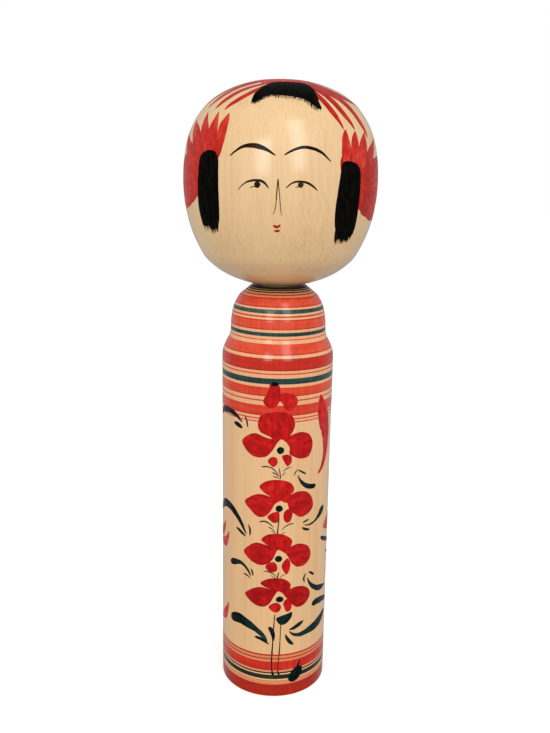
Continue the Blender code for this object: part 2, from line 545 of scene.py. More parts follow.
def dye(name, wood_stops, tints, grain_of_piece, cover, streak, grain=0.3, wax=0.5, drag=0.1):
    """Dye in wood: brush streaks run along each stroke, and the grain shows where the dye is thin.

    The tints are for thin to dense dye. The drag is how little the streaks change along a stroke.
    """
    made = Material(name)
    place, tone, fibres = wood_figure(made, *grain_of_piece)
    wood = made.ramp(tone, wood_stops)
    flow = made.node("Attribute", attribute_name="flow").outputs["Vector"]
    ink = made.node("Attribute", attribute_name="ink").outputs["Fac"]
    depth = made.node("Attribute", attribute_name="depth").outputs["Fac"]
    hairs = made.noise(made.stretched(flow, (drag, 1.0, 1.0)), 3.2, 3.0, 0.6)
    pools = made.noise(made.stretched(flow, (drag * 2.2, 0.4, 1.0)), 1.0, 2.0, 0.5)
    limits = {"From Min": 0.15, "From Max": 0.9, "To Min": 0.1, "To Max": 0.0}
    edge = made.node("MapRange", {"Value": depth, **limits}).outputs["Result"]
    amount = made.total(edge, (hairs, 0.5, streak), (pools, 0.5, streak * 1.6), (tone, 0.45, grain))
    amount = made.maths("ADD", amount, made.maths("MULTIPLY", ink, cover), clamp=True)
    dyed = made.ramp(amount, tints)
    shown = made.maths("MULTIPLY", amount, 3.2, clamp=True)
    colour = made.mix(shown, made.mix(1.0, wood, (*tints[0][1], 1.0), "MULTIPLY"), dyed)
    made.feed(made.shader.inputs["Base Color"], colour)
    height = made.total(0.0, (fibres, 0.0, 0.6), (hairs, 0.0, 0.4))
    made.gloss(made.total(0.34, (pools, 0.0, 0.14)), height, 0.2 * wax, wax)
    return made.material


HEAD_GRAIN = ((-0.12, 0.06), (0.013, 0.007, 0.31), 9.0)
BODY_GRAIN = ((-0.075, 0.06), (0.127, 0.041, 0.113), 1.0)
HEAD_STOPS = [(0.0, (0.92, 0.655, 0.36)), (0.5, (0.83, 0.55, 0.28)), (1.0, (0.68, 0.4, 0.18))]
BODY_STOPS = [(0.0, (0.9, 0.59, 0.315)), (0.5, (0.84, 0.505, 0.24)), (1.0, (0.68, 0.38, 0.16))]


def make_materials():
    """Bare wood for each turning, and every dye and ink.

    Each row is a name, its tints, how far full ink covers, how strong its streaks are, and dye()'s settings.
    """
    looks = {
        "head_wood": bare_wood("head_wood", HEAD_STOPS, *HEAD_GRAIN),
        "body_wood": bare_wood("body_wood", BODY_STOPS, *BODY_GRAIN),
    }
    for name, tints, cover, streak, settings in [
        ("ring_stain", [(0.0, (1.0, 0.84, 0.88)), (1.0, (0.88, 0.42, 0.22))],
         0.0, 0.0, {"grain": 0.0, "wax": 0.85}),
        # A thin red wash of dye. At the foot it also darkens the wood as painted shade near the floor.
        ("ring_wash_and_foot_shade", [(0.0, (0.8, 0.33, 0.17)), (0.5, (0.72, 0.24, 0.11)), (1.0, (0.68, 0.16, 0.07))],
         0.18, 0.26, {"grain": 0.3, "wax": 0.75, "drag": 0.012}),
        ("ring_red", [(0.0, (0.86, 0.19, 0.08)), (0.5, (0.73, 0.064, 0.024)), (0.8, (0.61, 0.02, 0.008)),
                      (1.0, (0.43, 0.018, 0.007))],
         0.46, 0.26, {"grain": 0.65, "wax": 0.75, "drag": 0.012}),
        ("ring_green", [(0.0, (0.13, 0.21, 0.16)), (0.5, (0.022, 0.065, 0.058)),
                        (1.0, (0.006, 0.018, 0.019))],
         0.52, 0.5, {"grain": 0.8, "wax": 0.65, "drag": 0.012}),
        ("ring_olive", [(0.0, (0.34, 0.28, 0.16)), (0.5, (0.026, 0.034, 0.018)),
                        (1.0, (0.006, 0.012, 0.008))],
         0.52, 0.5, {"grain": 0.5, "wax": 0.55, "drag": 0.012}),
        # Black ink for the neck's rings. The same ink also serves as painted shade on the neck's top face, in
        # the gap under the head.
        ("neck_ink_and_gap_shade", [(0.0, (0.16, 0.1, 0.05)), (0.5, (0.014, 0.009, 0.006)), (1.0, (0.004, 0.003, 0.002))],
         0.75, 0.34, {}),
        ("petal_red", [(0.0, (0.74, 0.07, 0.04)), (0.5, (0.6, 0.009, 0.008)), (1.0, (0.34, 0.003, 0.005))],
         0.52, 0.82, {"grain": 0.45, "wax": 0.35}),
        ("leaf_green", [(0.0, (0.16, 0.22, 0.15)), (0.5, (0.01, 0.04, 0.036)), (1.0, (0.002, 0.006, 0.008))],
         0.8, 0.4, {"wax": 0.3}),
    ]:
        looks[name] = dye(name, BODY_STOPS, tints, BODY_GRAIN, cover, streak, **settings)
    for name, tints, cover, streak, settings in [
        ("hair_red", [(0.0, (0.74, 0.11, 0.06)), (0.5, (0.58, 0.024, 0.014)), (1.0, (0.36, 0.008, 0.006))],
         0.48, 0.72, {"grain": 0.5, "wax": 0.25}),
        ("hair_black", [(0.0, (0.08, 0.055, 0.035)), (0.7, (0.007, 0.006, 0.0045)),
                        (1.0, (0.0015, 0.0015, 0.0015))],
         0.72, 0.4, {"wax": 0.04}),
        ("line_ink", [(0.0, (0.34, 0.16, 0.06)), (0.5, (0.036, 0.016, 0.007)), (1.0, (0.004, 0.003, 0.002))],
         0.62, 0.6, {"wax": 0.15}),
        ("lip_red", [(0.0, (0.72, 0.13, 0.06)), (0.5, (0.42, 0.02, 0.008)), (1.0, (0.26, 0.007, 0.004))],
         0.52, 0.3, {"wax": 0.4}),
    ]:
        looks[name] = dye(name, HEAD_STOPS, tints, HEAD_GRAIN, cover, streak, **settings)
    return looks


# ---- the painting

# Each flower's dark eye on the body's plan: x, y and its half sizes. Their petals' strokes run towards it.
EYES = [(-1.2, 133.4, 1.8, 1.8), (-1.3, 103.7, 1.8, 1.7), (-1.2, 77.2, 1.8, 1.7), (-0.3, 55.2, 2, 1.6)]


def dot(shells, plan, x, y, wide, tall, ink, **settings):
    """A round touch of the brush's tip."""
    turns = [k * math.pi / 4 for k in range(8)]
    outline = [(x + wide * math.cos(a), y + tall * math.sin(a)) for a in turns]
    patch(shells, plan, outline, ink=ink, **settings)


def paint_rings(looks):
    """Bands and fine lines that were laid on while the body turned on the lathe, with painted shade on the
    neck's top face and at the foot: from, to, ink and waver.
    """
    # The two lowest red bands, at the foot, get denser ink. This is partly the band's own colour and partly
    # painted shade near the floor, as a darker red.
    red = [(200.85,205.1,1), (190.65,195.4,1), (179.35,184.25,0.95), (172.1,177.9,1.75),
           (159.85,164.35,1.15), (150.4,155.5,1.3), (15.3,20.3,1.6), (0.6,7.2,2.2)]
    # Each of the six upper red bands gets a denser rim of pooled dye at its lower edge. The two highest bands
    # also get a darker rim at their top; on the highest band, under the head, that rim is painted shade.
    pools_and_top_shade = [(low, low + 0.55, ink + 0.7) for low, high, ink in red[:6]]
    pools_and_top_shade += [(high - 0.5, high, ink + 0.8) for low, high, ink in red[:2]]
    lines = [(206.1,0.6,1.9), (196.75,0.7,1.4), (186.15,0.6,0.9), (170.65,0.65,1.1), (157.85,0.7,1.2),
             (148.95,0.65,1.1), (147.3,0.6,1.1), (23.95,0.9,1.7), (21.95,0.8,1.7), (9.2,0.4,1.2)]
    red += pools_and_top_shade + [(middle - width / 2, middle + width / 2, ink, 0.03) for middle, width, ink in lines]
    # Thin red washes round the neck and the foot. The ones at the foot also darken the wood as painted shade
    # near the floor.
    wash_and_foot_shade = [(low, high, 1, 0.15) for low, high in [(204.9,206.9), (20.2,24.4), (14.2,15.4), (7,8.8)]]
    # The first black band, from 209 mm up, covers the neck's top face in the gap under the head. It is a dark
    # sheet painted where there is only shade. The other black bands are the neck's real black rings.
    black = [(209, 213, 1, 0.02), (208.35, 208.99, 0.6, 0.02), (207.7, 208.25, 1.3, 0.02),
             (206.95, 207.45, 1.3, 0.02)]
    for name, look, slot, layer, bands in [
        ("rings_stain", "ring_stain", "red_dye", -1, [(146.6, 206, 0, 0.3)]),
        ("rings_wash_and_foot_shade", "ring_wash_and_foot_shade", "red_dye", 0, wash_and_foot_shade),
        ("rings_red", "ring_red", "red_dye", 1, red),
        ("rings_green", "ring_green", "green_dye", 0, [(198.15,199.95,0.55), (187.5,189.45,0.9),
            (165.75,168.6,1)]),
        ("rings_olive", "ring_olive", "green_dye", 0, [(13.5,14.3,1.4), (10.3,12.75,1)]),
        ("rings_black_and_gap_shade", "neck_ink_and_gap_shade", "black_ink", 0, black),
    ]:
        shells = Shells(layer)
        for band in bands:
            ring(shells, *band)
        shells.piece(name, looks[look], "body", slot)


def paint_flowers(looks):
    """Four open flowers and the buds above them, each petal one loaded brush press."""
    red = Shells(2)
    patch(red, side, [(2.4,161.6), (5.5,160.4), (6.8,157.4), (5.4,154.2), (2.6,152.8), (0.4,154),
        (-0.6,156.4), (-2.2,158.4), (-2.1,161), (-0.4,162)], ink=1)
    stroke(red, side, [(-0.6,160.6,0.6), (1,157.8,1.9), (2.6,154,0.8)], 1.7, 1.3)
    patch(red, side, [(-4.5,166.9), (-3,166.5), (-2.1,164.8), (-1.6,161.5), (-1.9,158), (-3.7,154.8),
        (-6.8,154.2), (-9.7,157), (-8.5,160.4), (-7.2,163.2), (-6.8,165.4), (-5.9,166.6)], ink=1.4)
    stroke(red, side, [(-4.4,166.2,2.6), (-4.7,162.6,3), (-5.4,158.6,2), (-6,155.6,0.4)], 1.9, 1.4)
    tops = [
        [(-10.6,150.6), (-6.5,152.2), (-2,152.6), (2.6,151.6), (5.2,149), (5.7,145.4), (4.4,142.2),
         (2.6,139.8), (1.8,137.6), (-1,138.9), (-3.2,137.2), (-6.2,140), (-8.2,140.9), (-10.8,142.1),
         (-12.2,144.8), (-12,148)],
        [(-11.1,114.5), (-8.6,117.2), (-4.6,118.5), (0,118.3), (4,116.8), (5.8,114.2), (5.6,112),
         (4.4,110.9), (3.2,108.6), (1.9,106.6), (-0.6,107.6), (-4.4,106), (-5.6,109.6), (-8.4,111.4)],
        [(-9.9,87), (-7.6,89.5), (-3.8,90.5), (0.4,90.2), (3.8,88.6), (5.5,86.4), (5,84), (4.2,82.4),
         (2.6,80), (-1.4,82), (-4.2,78.6), (-5.6,83.2), (-8.2,85.2)],
        [(-10.1,63.5), (-7.8,65.6), (-3.8,66.8), (0.4,66.6), (3.4,65.2), (5.2,62.8), (4.9,60.6), (4.2,59.4),
         (2.6,57.6), (-1,59.6), (-4,56.8), (-5.2,60.6), (-8,61.9)],
    ]
    lefts = [
        [(-20.9,136), (-18.2,139.2), (-13.4,141.3), (-9.2,140), (-6.2,139.2), (-2.2,138.8), (-3.6,135.8),
         (-5.2,133), (-7.6,130.4), (-10.6,129.4), (-14.6,129.7), (-18.2,132)],
        [(-19.1,105.5), (-16,108.6), (-11.6,110.7), (-7.8,110.4), (-4.4,109), (-2.6,107.6), (-4,105),
         (-5.6,102.2), (-8.2,99.4), (-11.8,98.9), (-15.8,101.8)],
        [(-19.6,79), (-16.8,82.4), (-12.8,85), (-9,84.8), (-5.4,83.6), (-2.4,81.8), (-3,79.4), (-4.1,77),
         (-6.6,74.4), (-11.4,73.4), (-15.4,75)],
        [(-18.6,56.2), (-15.4,59.2), (-11.6,61.2), (-7.8,61.4), (-4.6,60.4), (-2.2,59), (-3.4,56.6),
         (-5,53.4), (-8,51), (-11.8,51), (-15.4,52.8)],
    ]
    rights = [
        [(1.2,138.9), (4.6,141.2), (8.8,142), (13,140.6), (15.5,137), (15.5,132.8), (13.6,129.2),
         (9.2,128.5), (5.6,129.8), (3.2,131.4), (3.2,134.6)],
        [(1.4,108.3), (4.4,110.7), (9,111.9), (13.4,110.6), (16.4,106.8), (17.2,102.4), (14,99.2),
         (9.6,98.4), (6.4,100.4), (3.6,103), (2.8,106)],
        [(1.8,81.4), (4.2,83), (8.2,84.3), (12.6,83.2), (15.6,80.4), (16.5,76.8), (15,73.6), (12,71.9),
         (8.6,72), (5.6,74.2), (3.8,77.6)],
        [(1.4,58.4), (4.2,60.2), (8.2,61.3), (12.4,60.5), (15.8,58), (16.8,55.4), (15.4,52), (12.6,50),
         (9.6,49.6), (6.6,51.4), (3.6,55.2)],
    ]
    smalls = [
        [(-7.2,127.9), (-5.2,130.1), (-3,129.7), (-2.5,127), (-4.4,125), (-6.2,126.2)],
        [(-0.4,130.7), (2.2,131.2), (4,130.4), (4.3,127.4), (2.5,125.3), (0.8,127.4)],
        [(-7,99.1), (-4.8,101.4), (-1.6,102), (-1.1,99), (-2,96.6), (-3.8,96.2), (-5.6,97.4)],
        [(1,101.4), (3.2,103.4), (5.2,101.8), (5.1,98.8), (4.2,96.8), (2.8,96.2), (1.2,97.6)],
        [(-7.7,73), (-5.6,75), (-3.4,75.5), (-1.9,73.5), (-2,70.9), (-4,69.9), (-6.6,70.8)],
        [(1.2,75.4), (3.4,77.2), (4.8,74.4), (4.3,70.6), (3,68.6), (1.4,70.4), (0.4,73)],
        [(-5.7,51), (-4,52.9), (-1.5,53.4), (0.5,51.2), (-0.3,48.8), (-2.1,48), (-4.2,48.8)],
        [(1.6,53.4), (3.6,55.2), (5.6,53.2), (5.9,50.2), (5,48.5), (3.4,48.1), (2.2,50.2)],
    ]
    for outlines in (tops, lefts, rights):
        for outline, eye, ink in zip(outlines, EYES, [1.38, 1.24, 1.37, 1.7]):
            patch(red, side, outline, ink=ink, towards=eye[:2])
    for outline in smalls:
        patch(red, side, outline, ink=1.35)
    red.piece("petals", looks["petal_red"], "body", "red_dye")

    strokes = Shells(2)
    stroke(strokes, side, [(20.5,159,0.8), (21.6,153.5,6.4), (24,146.8,9.8), (26.2,140,8.4), (27,133,6.2),
        (26,126.6,4.2), (23.4,121.4,2.6), (20.2,118.4,1.4)], 1.3, 1.1)
    stroke(strokes, side, [(27,88.4,2), (32,88.4,7.4), (39,88.6,8), (48,90.2,0.8)], 0.8)
    stroke(strokes, side, [(-31,85.8,0.5), (-32.6,81.6,2.6), (-36,78.2,5.2), (-43,77,1)], 0.8)
    stroke(strokes, side, [(-35,90,0.6), (-37,86,3.4), (-41,82,5), (-47,80,0.8)], 0.8)
    stroke(strokes, side, [(-31,46.2,0.5), (-33,41.6,3), (-36.2,37,5), (-42,33,1)], 0.8)
    strokes.piece("side_strokes_red", looks["petal_red"], "body", "red_dye")


def paint_greenery(looks):
    green = Shells(3)
    for eye in EYES:
        dot(green, side, *eye, 1.1, ring_step=0.7)
    patch(green, side, [(-6.3,165.6), (-4.5,164.7), (-2.5,165.5), (-3,166.7), (-4.5,167), (-6,166.6)],
        ink=1.6, ring_step=0.7)
    green.piece("flower_eyes", looks["leaf_green"], "body", "green_dye")

    sprigs = Shells(3)
    for line in [
        [(-1.8,124.8,0.4), (-1.3,122.5,0.5), (-0.9,118.8,0.6)],
        [(-10.4,124.7,0.6), (-7.4,125.1,0.7), (-4.2,123.8,0.6), (-1.8,120.8,0.3)],
        [(-5.2,122.4,0.4), (-3.4,121.6,0.6), (-1.4,120,0.3)],
        [(-4.9,120.6,0.3), (-3,119.8,0.5), (-1.2,119.2,0.3)],
        [(4.4,124.7,0.3), (2.2,124.3,0.5), (0,122.6,0.3)],
        [(1.8,122.3,0.3), (0.4,121.4,0.4), (-0.4,120.2,0.3)],
        [(-1.2,99.4,0.5), (-1.7,94,0.6), (-2,90,0.7)],
        [(-11.2,96.2,0.5), (-8.4,96.8,0.8), (-5.8,95.7,0.6), (-3.8,93.6,0.3)],
        [(-6.7,94.2,0.4), (-4.8,93.1,0.5), (-3,91.4,0.3)],
        [(-5.2,92,0.3), (-3.8,91.3,0.4), (-2.4,90.6,0.3)],
        [(6.2,95.6,0.5), (3.4,95.1,0.6), (1.2,93.7,0.4), (0,92.2,0.3)],
        [(1.9,91.6,0.3), (0.8,90.8,0.4), (-0.2,90.4,0.3)],
        [(-0.9,70.2,0.5), (-1.4,68.2,0.6), (-1.6,65.6,0.7)],
        [(-8.9,70.4,0.4), (-6.2,70.2,0.6), (-3.6,69,0.5), (-1.8,67.3,0.3)],
        [(-5.2,68.4,0.3), (-3.4,67.4,0.4), (-2,66.4,0.3)],
        [(2.4,68.9,0.3), (1,68.2,0.4), (-0.4,66.8,0.3)],
    ]:
        stroke(sprigs, side, line, 0.75, 0.6)
    sprigs.piece("sprigs", looks["leaf_green"], "body", "green_dye")

    stems = Shells(3)
    stroke(stems, side, [(-2.6,47.2,0.5), (-3,41,0.55), (-3.3,34,0.6), (-3.6,28,0.7), (-3.9,20,1.2),
        (-3.7,15.5,1.3), (-2.9,12.2,1.3)], 1.2, 1.5)
    stroke(stems, side, [(0.5,41.8,0.45), (0.3,34,0.45), (0,26,0.6), (-0.6,18,0.9), (-0.5,14.4,1),
        (0.3,12.2,1)], 1.1, 1.4)
    patch(stems, side, [(-1.9,44.6), (-1,42.4), (0.8,41), (3,41.4), (5,43.2), (6.2,45.4), (6.2,47.6),
        (3.2,46.8), (0.2,45.9)], ink=1)
    stroke(stems, side, [(-5.7,39.9,1.5), (-4.3,38.2,2.3), (-3.3,35.4,2), (-3.3,31.6,0.6)])
    patch(stems, side, [(5,11.2), (5.2,8.8), (7.2,7.5), (9.6,8.2), (11.8,10.2), (12.9,12.8), (12.6,14.8),
        (10.8,16.4), (8.6,15.8), (6.6,13.8)], ink=1.2)
    stroke(stems, side, [(9.4,13.4,3.6), (10.4,16.6,2.4), (11.6,20,0.5)], 1.2)
    stroke(stems, side, [(11.4,13,2.4), (12.4,15.4,1.4), (13.1,17.6,0.4)], 1.2)
    stems.piece("stems", looks["leaf_green"], "body", "green_dye")

    leaves = Shells(3)
    for line, ink, ink_end in [
        ([(-42,145.4,2), (-37.5,148.2,3.4), (-33,149.6,3.9), (-28,149.4,3.2), (-23.8,147.8,2),
          (-20.6,145.4,0.5)], 1.4, 0.9),
        ([(-19.4,149.4,0.6), (-18.2,147,1.1), (-17.6,143.4,0.5)], 1, 0.9),
        ([(-26.6,144.4,0.9), (-23.8,143.9,2.4), (-20.6,142.6,1.2)], 1, 1.1),
        ([(-44,92.6,1.2), (-39,97.2,3.2), (-34.6,99.9,4.2), (-29.4,99.9,4), (-24.8,97.2,3.1),
          (-21.2,93.4,2.1), (-18,88.2,0.7)], 1.4, 1),
        ([(-16.9,94,0.5), (-15.9,91,1.2), (-16.1,87.8,0.5)], 0.9, 0.8),
        ([(-24.6,90.4,0.9), (-21.6,88.9,1.7), (-18.3,87,0.6)], 1.1, 0.9),
        ([(-29.2,69.4,1.8), (-27.4,70.6,3.2), (-25.2,71.5,3.2), (-21,72.1,1.9), (-17.4,69.8,1.4),
          (-15.3,66.4,0.7)], 1.2, 0.7),
        ([(-15.2,70.6,0.5), (-14.4,68.6,1), (-14,66.6,0.5)], 0.8, 0.6),
        ([(-19.8,66.7,0.5), (-17.6,66.4,0.9), (-15.3,65.2,0.4)], 0.7, 0.6),
        ([(-28.4,38.2,3.2), (-25.6,40.3,5.2), (-21.6,40.9,5.6), (-17,39.8,4.6), (-12.6,37.8,3.2),
          (-8.8,35,2.4), (-6.2,31.6,0.8)], 1.35, 0.55),
        ([(-13,33.5,1.2), (-9.8,32.9,1.8), (-7.2,31.5,1.4), (-5.2,30,0.5)], 1.1, 1.05),
        ([(7.6,120.4,0.4), (8.6,118.2,1), (10.6,115.6,1.9), (14,113.5,2.5), (18.8,112.7,2.2)], 0.6, 1.2),
        ([(5.8,120,0.4), (6.2,121.6,0.6), (7.6,123.4,0.4)], 0.6, 0.6),
        ([(7.4,123.2,0.4), (9.6,121.9,0.9), (12.4,120.2,0.8)], 0.6, 0.8),
        ([(26.4,99.9,2.4), (24.4,98.1,3.7), (21.8,95.8,2.5), (19.2,94.2,1.4), (16,93.2,1), (13.4,93.3,0.6),
          (11.4,93.8,0.3)], 1.1, 0.6),
        ([(14.9,96,0.5), (12.8,95.6,1.1), (10.9,94.7,0.4)], 0.75, 0.6),
        ([(10.6,92.7,0.5), (12.6,91.3,1.5), (15.4,90.4,1)], 0.8, 1),
        ([(24.2,83.3,1), (27.6,81.4,2.4), (32,79.4,2.3), (38,76.6,1.7), (44,74.8,0.5)], 1.2, 0.8),
        ([(31,73.2,0.5), (35,71.4,1.4), (40,68.6,1.3), (45,66.8,0.5)], 0.7, 0.9),
        ([(14.7,64.6,0.5), (16,61.6,1.4), (18.4,58.8,2.3), (22,56.3,3), (26.4,54.8,3), (32,54.2,0.7)],
          0.8, 1.2),
        ([(13.2,62.2,0.5), (12.5,64.6,1.1), (13.7,67.4,0.5)], 0.8, 0.7),
        ([(15.4,67.6,0.4), (17.2,66.4,1.3), (19.5,64.6,1)], 0.8, 1.1),
        ([(18.4,48.1,2.6), (21,48.6,3.5), (25.6,48,3.6), (30.4,46.6,2.8), (36,44.4,1.6), (42,42.8,0.4)],
          1.1, 0.8),
        ([(33,39.2,1.6), (29.5,37.9,4.2), (26,36.6,5.2), (20.8,35.3,4.8), (14.9,34.4,3.3), (10.4,34,2.2),
          (7.2,34.9,1.5), (4.8,37.1,0.5)], 1.2, 0.6),
        ([(13,41.2,1), (10.4,39.8,2.2), (7.2,38.4,1.8), (4.6,37.8,0.5)], 1, 0.9),
        ([(2.9,35.6,0.5), (3.9,33.2,1.6), (5.4,31,1.9), (7.4,29,1)], 0.8, 1),
    ]:
        stroke(leaves, side, line, ink, ink_end)
    leaves.piece("leaves", looks["leaf_green"], "body", "green_dye")


def bristles(shells, plan, roots, tips, count, width, spread, seed, ink=1):
    """Ends of brush hairs: thin tapering strokes from one line to another, uneven in length and spacing."""
    random = np.random.RandomState(seed)
    root_line = spline(roots, 30)
    tip_line = spline(tips, 30)
    for k in range(count):
        share = np.clip((k + 0.5 + random.uniform(-0.4, 0.4)) / count, 0, 1)
        root = root_line[int(share * (len(root_line) - 1))]
        tip = tip_line[int(share * (len(tip_line) - 1))]
        reach = 1.0 + random.uniform(-spread, spread)
        end = root + (tip - root) * reach
        bend = (root + end) / 2 + random.uniform(-0.12, 0.12, 2)
        wide = width * random.uniform(0.6, 1.25)
        points = [(*root, wide), (*bend, wide * 0.85), (*end, 0.1)]
        stroke(shells, plan, points, ink, ink * random.uniform(0.75, 1))


def paint_hair(looks):
    black = Shells(2)
    patch(black, crown, [(-12.4,-37.2), (-12,-34.6), (-10.9,-31.4), (-8.9,-28.6), (-6.6,-24.9), (-3.6,-21.6),
        (0,-20.5), (4,-20), (8,-19.2), (11.2,-19.3), (13.6,-21.8), (15.7,-25.6), (17.3,-29.9), (18.7,-33.7),
        (20.4,-37.2), (18.4,-37.8), (15.2,-36.6), (12,-35.6), (7,-35.2), (3,-35.2), (-0.3,-34.9),
        (-3.2,-34.4), (-6.4,-35.6), (-9.6,-37.4)], centre=(3, -28.5), ink=1.2, rough=0.15)
    bristles(black, crown, [(-12,-36), (-9.4,-36.4), (-6.4,-34.8), (-3.2,-33.6), (0,-34.2), (6,-34.6),
        (12,-34.8), (16,-36.2), (20,-36.4)], [(-12.7,-38.2), (-10.4,-38.9), (-7,-37.4), (-3.6,-36),
        (0,-36.8), (6,-37), (12,-37.2), (17,-39.3), (20.6,-38.4)], 110, 0.3, 0.26, 5)
    patch(black, face, [(-49.6,68), (-48.8,64.2), (-45.6,62), (-41,61.3), (-36.6,61.9), (-33.9,64.6),
        (-33.3,70), (-33.2,77), (-33.4,84), (-34.6,90.6), (-37,94.2), (-43,93.8), (-49.4,93.6), (-51.2,88.6),
        (-50.8,80), (-50,73)], ink=1.2)
    bristles(black, face, [(-50.2,90.4), (-45,92), (-40,92.4), (-35.6,90.4)], [(-50.4,96.2), (-45,96),
        (-40,97), (-36.4,94.8)], 22, 0.85, 0.34, 11)
    patch(black, face, [(36.6,70), (37.4,66.6), (39.6,65.3), (44,65.2), (49,66.2), (51.8,68.6), (52.3,75),
        (52.4,83), (53.2,91), (52.6,97.4), (47,98.6), (40.6,98.4), (36.2,93.6), (34.5,86.6), (34.9,79)],
        ink=1.2)
    bristles(black, face, [(37,94.4), (42,96.6), (47,96.8), (52.4,95)], [(38.4,100.8), (42.6,100.6),
        (47.4,100.8), (52.2,99.2)], 22, 0.85, 0.34, 17)
    black.piece("hair", looks["hair_black"], "head", "black_ink")

    red = Shells(0)
    patch(red, face, [(-33.3,64.2), (-32,60.6), (-35.4,57.6), (-39.6,57.2), (-44,57), (-49.6,57),
        (-54.8,57.6), (-59.6,61.2), (-64,66), (-65,73), (-62,79), (-56,82.4), (-51,80.8), (-44,74),
        (-38,68)], ink=1.3)
    patch(red, face, [(-57,70), (-62,64), (-70,62.6), (-77,64.6), (-82,69), (-83,75), (-79,80.6), (-72,83),
        (-63,81), (-58,76)])
    patch(red, face, [(37,70), (36.7,64.4), (40.4,62.4), (47,62.2), (54,62.4), (60.6,64), (66,68), (68.6,76),
        (67,84), (60,87), (53,85.6), (46,78), (41,73)], ink=1.3)
    patch(red, face, [(62,74), (66,67), (72,64.6), (79,65.6), (84,70), (85,77), (82,84), (75,87), (67,86),
        (62.6,80)])
    for line in [
        [(-54,72,7), (-62,70.4,8), (-76,68.4,6.4), (-93,66.4,0.6)],
        [(-55,76,7), (-65,76.4,8), (-79,76.8,6.4), (-95,77,0.6)],
        [(-51,69,6), (-57.4,64.4,7), (-66,59.6,6.4), (-76,54.6,3.4), (-84,50.6,0.6)],
        [(-54,77.4,7), (-63,79.8,7.4), (-76,82.6,6.4), (-90,86.4,0.6)],
        [(-50.6,78.4,4), (-57,80.8,5), (-65,83.4,5), (-77,87.2,0.6)],
        [(-51,63,7), (-55.2,57.4,7.8), (-59.6,53.2,6.4), (-64.2,50,3.6), (-68.2,46.8,0.4)],
        [(-47,63,7), (-48,57.4,7.2), (-49.1,53,6), (-51.6,48.2,3.6), (-54.5,43.1,0.4)],
        [(-40.6,63,6.8), (-41,57.4,6.8), (-41.2,53,6), (-41.4,48.4,3.6), (-41.7,43.8,0.5)],
        [(-35,64.4,3.2), (-34.2,58.6,4.8), (-33.6,53,5.2), (-32.9,48.8,3.9), (-32,44.9,0.9)],
    ]:
        stroke(red, face, line, 1.35, 0.75)
    for line in [
        [(55.6,74,8), (65,71.8,9), (79,69.4,7.4), (96,66.8,0.7)],
        [(55.6,79,8), (66,79.4,9), (80,79.8,7.4), (98,79.6,0.7)],
        [(54.6,83,7.6), (65,85.6,8.4), (78,88,7.2), (93,91.2,0.7)],
        [(57,71,7.4), (62,65,7.8), (67,60.8,6), (72,57.6,3.4), (78.2,54,0.5)],
        [(58,73,8), (70,67.4,8), (82,65.2,6), (97,63,0.7)],
    ]:
        stroke(red, face, line, 1.7, 1.1)
    for line in [
        [(53.4,68,7.2), (55.7,61.4,7), (58,57,5.2), (61.5,52,0.5)],
        [(48,67.6,6.4), (48.4,60.6,6.2), (49.5,56,4.6), (51.2,51.9,0.5)],
        [(40.9,67,5.2), (41.2,60.4,5.4), (41.6,55.6,4), (42.7,51.5,0.5)],
    ]:
        stroke(red, face, line, 0.7, 1.35)
    patch(red, crown, [(-7,-22), (0,-23), (8,-22), (13.6,-21), (14.6,-14), (10,-8.6), (3,-6.4), (-3.4,-7.6),
        (-8.4,-12), (-9.4,-17)], ink=1.1)
    for line in [
        [(-5,-25.5,3), (-11.6,-29.8,2.9), (-18.3,-32.5,2.8), (-23.5,-33.5,2.1), (-26.2,-34.4,0.5)],
        [(-4,-21,3), (-9.2,-23.3,3), (-16,-25,3.1), (-23.2,-27,3.2), (-28.4,-28,2.2), (-31.2,-28.8,0.5)],
        [(-6,-16.6,3.2), (-13.8,-18.4,3.5), (-20.7,-19.6,3.6), (-28.2,-21.2,3.2), (-35.4,-21.7,0.5)],
        [(-6,-13.8,4.2), (-15,-15,4.4), (-26,-15.2,3.8), (-37.5,-13.8,0.5)],
        [(-5,-9.4,3.2), (-15,-8.2,3.4), (-27,-4.6,3), (-38.6,0.6,0.5)],
        [(-3,-7,3), (-13,-2.4,3.2), (-24,4,2.6), (-33,11.6,0.4)],
        [(13.5,-26,3), (18.2,-30,3.2), (22.7,-33.2,3.2), (27.6,-35.9,2.7), (32,-37.8,1.5), (34.3,-38.8,0.5)],
        [(13,-22.4,3.6), (21.3,-26.3,3.9), (27.1,-29.2,3.6), (32.7,-31.1,3), (37.5,-31.8,1.8),
         (40.4,-32.3,0.5)],
        [(12,-19,6), (19,-21.4,6.6), (27,-21.8,5.2), (35.1,-22.7,3.8), (40.6,-23.3,3.6), (46,-23.2,2.5),
         (49.2,-23.2,0.7)],
        [(11,-15,4.6), (22,-17.4,5.8), (29.4,-15.8,5.4), (34.8,-10.6,2.8), (39,-4.4,0.5)],
        [(9,-10.4,3.4), (20,-9.6,3.6), (30,-4.2,3), (38,3,0.5)],
        [(6,-7,3), (16,-2.6,3.4), (26,4.6,3), (33,12.6,0.4)],
    ]:
        stroke(red, crown, line, 1.75, 1.3)
    red.piece("hair_ribbons", looks["hair_red"], "head", "red_dye")


